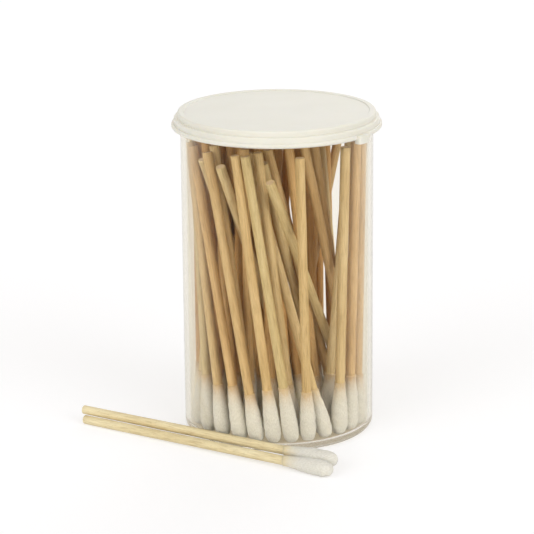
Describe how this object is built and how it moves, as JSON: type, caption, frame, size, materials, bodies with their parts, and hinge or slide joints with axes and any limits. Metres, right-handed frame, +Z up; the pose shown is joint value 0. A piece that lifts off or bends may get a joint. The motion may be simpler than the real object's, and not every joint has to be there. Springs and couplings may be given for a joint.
{
  "type": "vial of cotton swabs",
  "caption": "Round clear vial with a stepped push-on lid, packed with wooden cotton swabs standing tip down, and loose swabs lying in front of it.",
  "frame": {"origin": "centre of the vial's underside, where it stands", "axes": "+Z up along the vial's axis; -Y towards the front, where the loose swabs lie"},
  "size_m": [0.0786, 0.0706, 0.0837],
  "materials": {
    "vial_clear": "clear gloss",
    "cap_white": "satin",
    "stick_wood": "bare birch, smooth",
    "tip_cotton": "wound cotton"
  },
  "bodies": {
    "vial": {"loose_swab_1_stick": "stick_wood", "loose_swab_1_tip": "tip_cotton", "loose_swab_2_stick": "stick_wood", "loose_swab_2_tip": "tip_cotton", "rear_sticks": "stick_wood", "rear_tips": "tip_cotton", "swab_01_stick": "stick_wood", "swab_01_tip": "tip_cotton", "swab_02_stick": "stick_wood", "swab_02_tip": "tip_cotton", "swab_03_stick": "stick_wood", "swab_03_tip": "tip_cotton", "swab_04_stick": "stick_wood", "swab_04_tip": "tip_cotton", "swab_05_stick": "stick_wood", "swab_05_tip": "tip_cotton", "swab_06_stick": "stick_wood", "swab_06_tip": "tip_cotton", "swab_07_stick": "stick_wood", "swab_07_tip": "tip_cotton", "swab_08_stick": "stick_wood", "swab_08_tip": "tip_cotton", "swab_09_stick": "stick_wood", "swab_09_tip": "tip_cotton", "swab_10_stick": "stick_wood", "swab_10_tip": "tip_cotton", "swab_11_stick": "stick_wood", "swab_11_tip": "tip_cotton", "swab_12_stick": "stick_wood", "swab_12_tip": "tip_cotton", "swab_13_stick": "stick_wood", "swab_13_tip": "tip_cotton", "swab_14_stick": "stick_wood", "swab_14_tip": "tip_cotton", "swab_15_stick": "stick_wood", "swab_15_tip": "tip_cotton", "swab_16_stick": "stick_wood", "swab_16_tip": "tip_cotton", "swab_17_stick": "stick_wood", "swab_17_tip": "tip_cotton", "swab_18_stick": "stick_wood", "swab_18_tip": "tip_cotton", "swab_19_stick": "stick_wood", "swab_19_tip": "tip_cotton", "swab_20_stick": "stick_wood", "swab_20_tip": "tip_cotton", "swab_21_stick": "stick_wood", "swab_21_tip": "tip_cotton", "swab_22_stick": "stick_wood", "swab_22_tip": "tip_cotton", "swab_23_stick": "stick_wood", "swab_23_tip": "tip_cotton", "swab_24_stick": "stick_wood", "swab_24_tip": "tip_cotton", "swab_25_stick": "stick_wood", "swab_25_tip": "tip_cotton", "swab_26_stick": "stick_wood", "swab_26_tip": "tip_cotton", "vial": "vial_clear"},
    "cap": {"cap": "cap_white"}
  },
  "joints": [
    {"name": "cap_lift", "type": "slide", "parent": "vial", "child": "cap", "axis": [0, 0, 1], "range_m": [0, 0.03]}
  ]
}
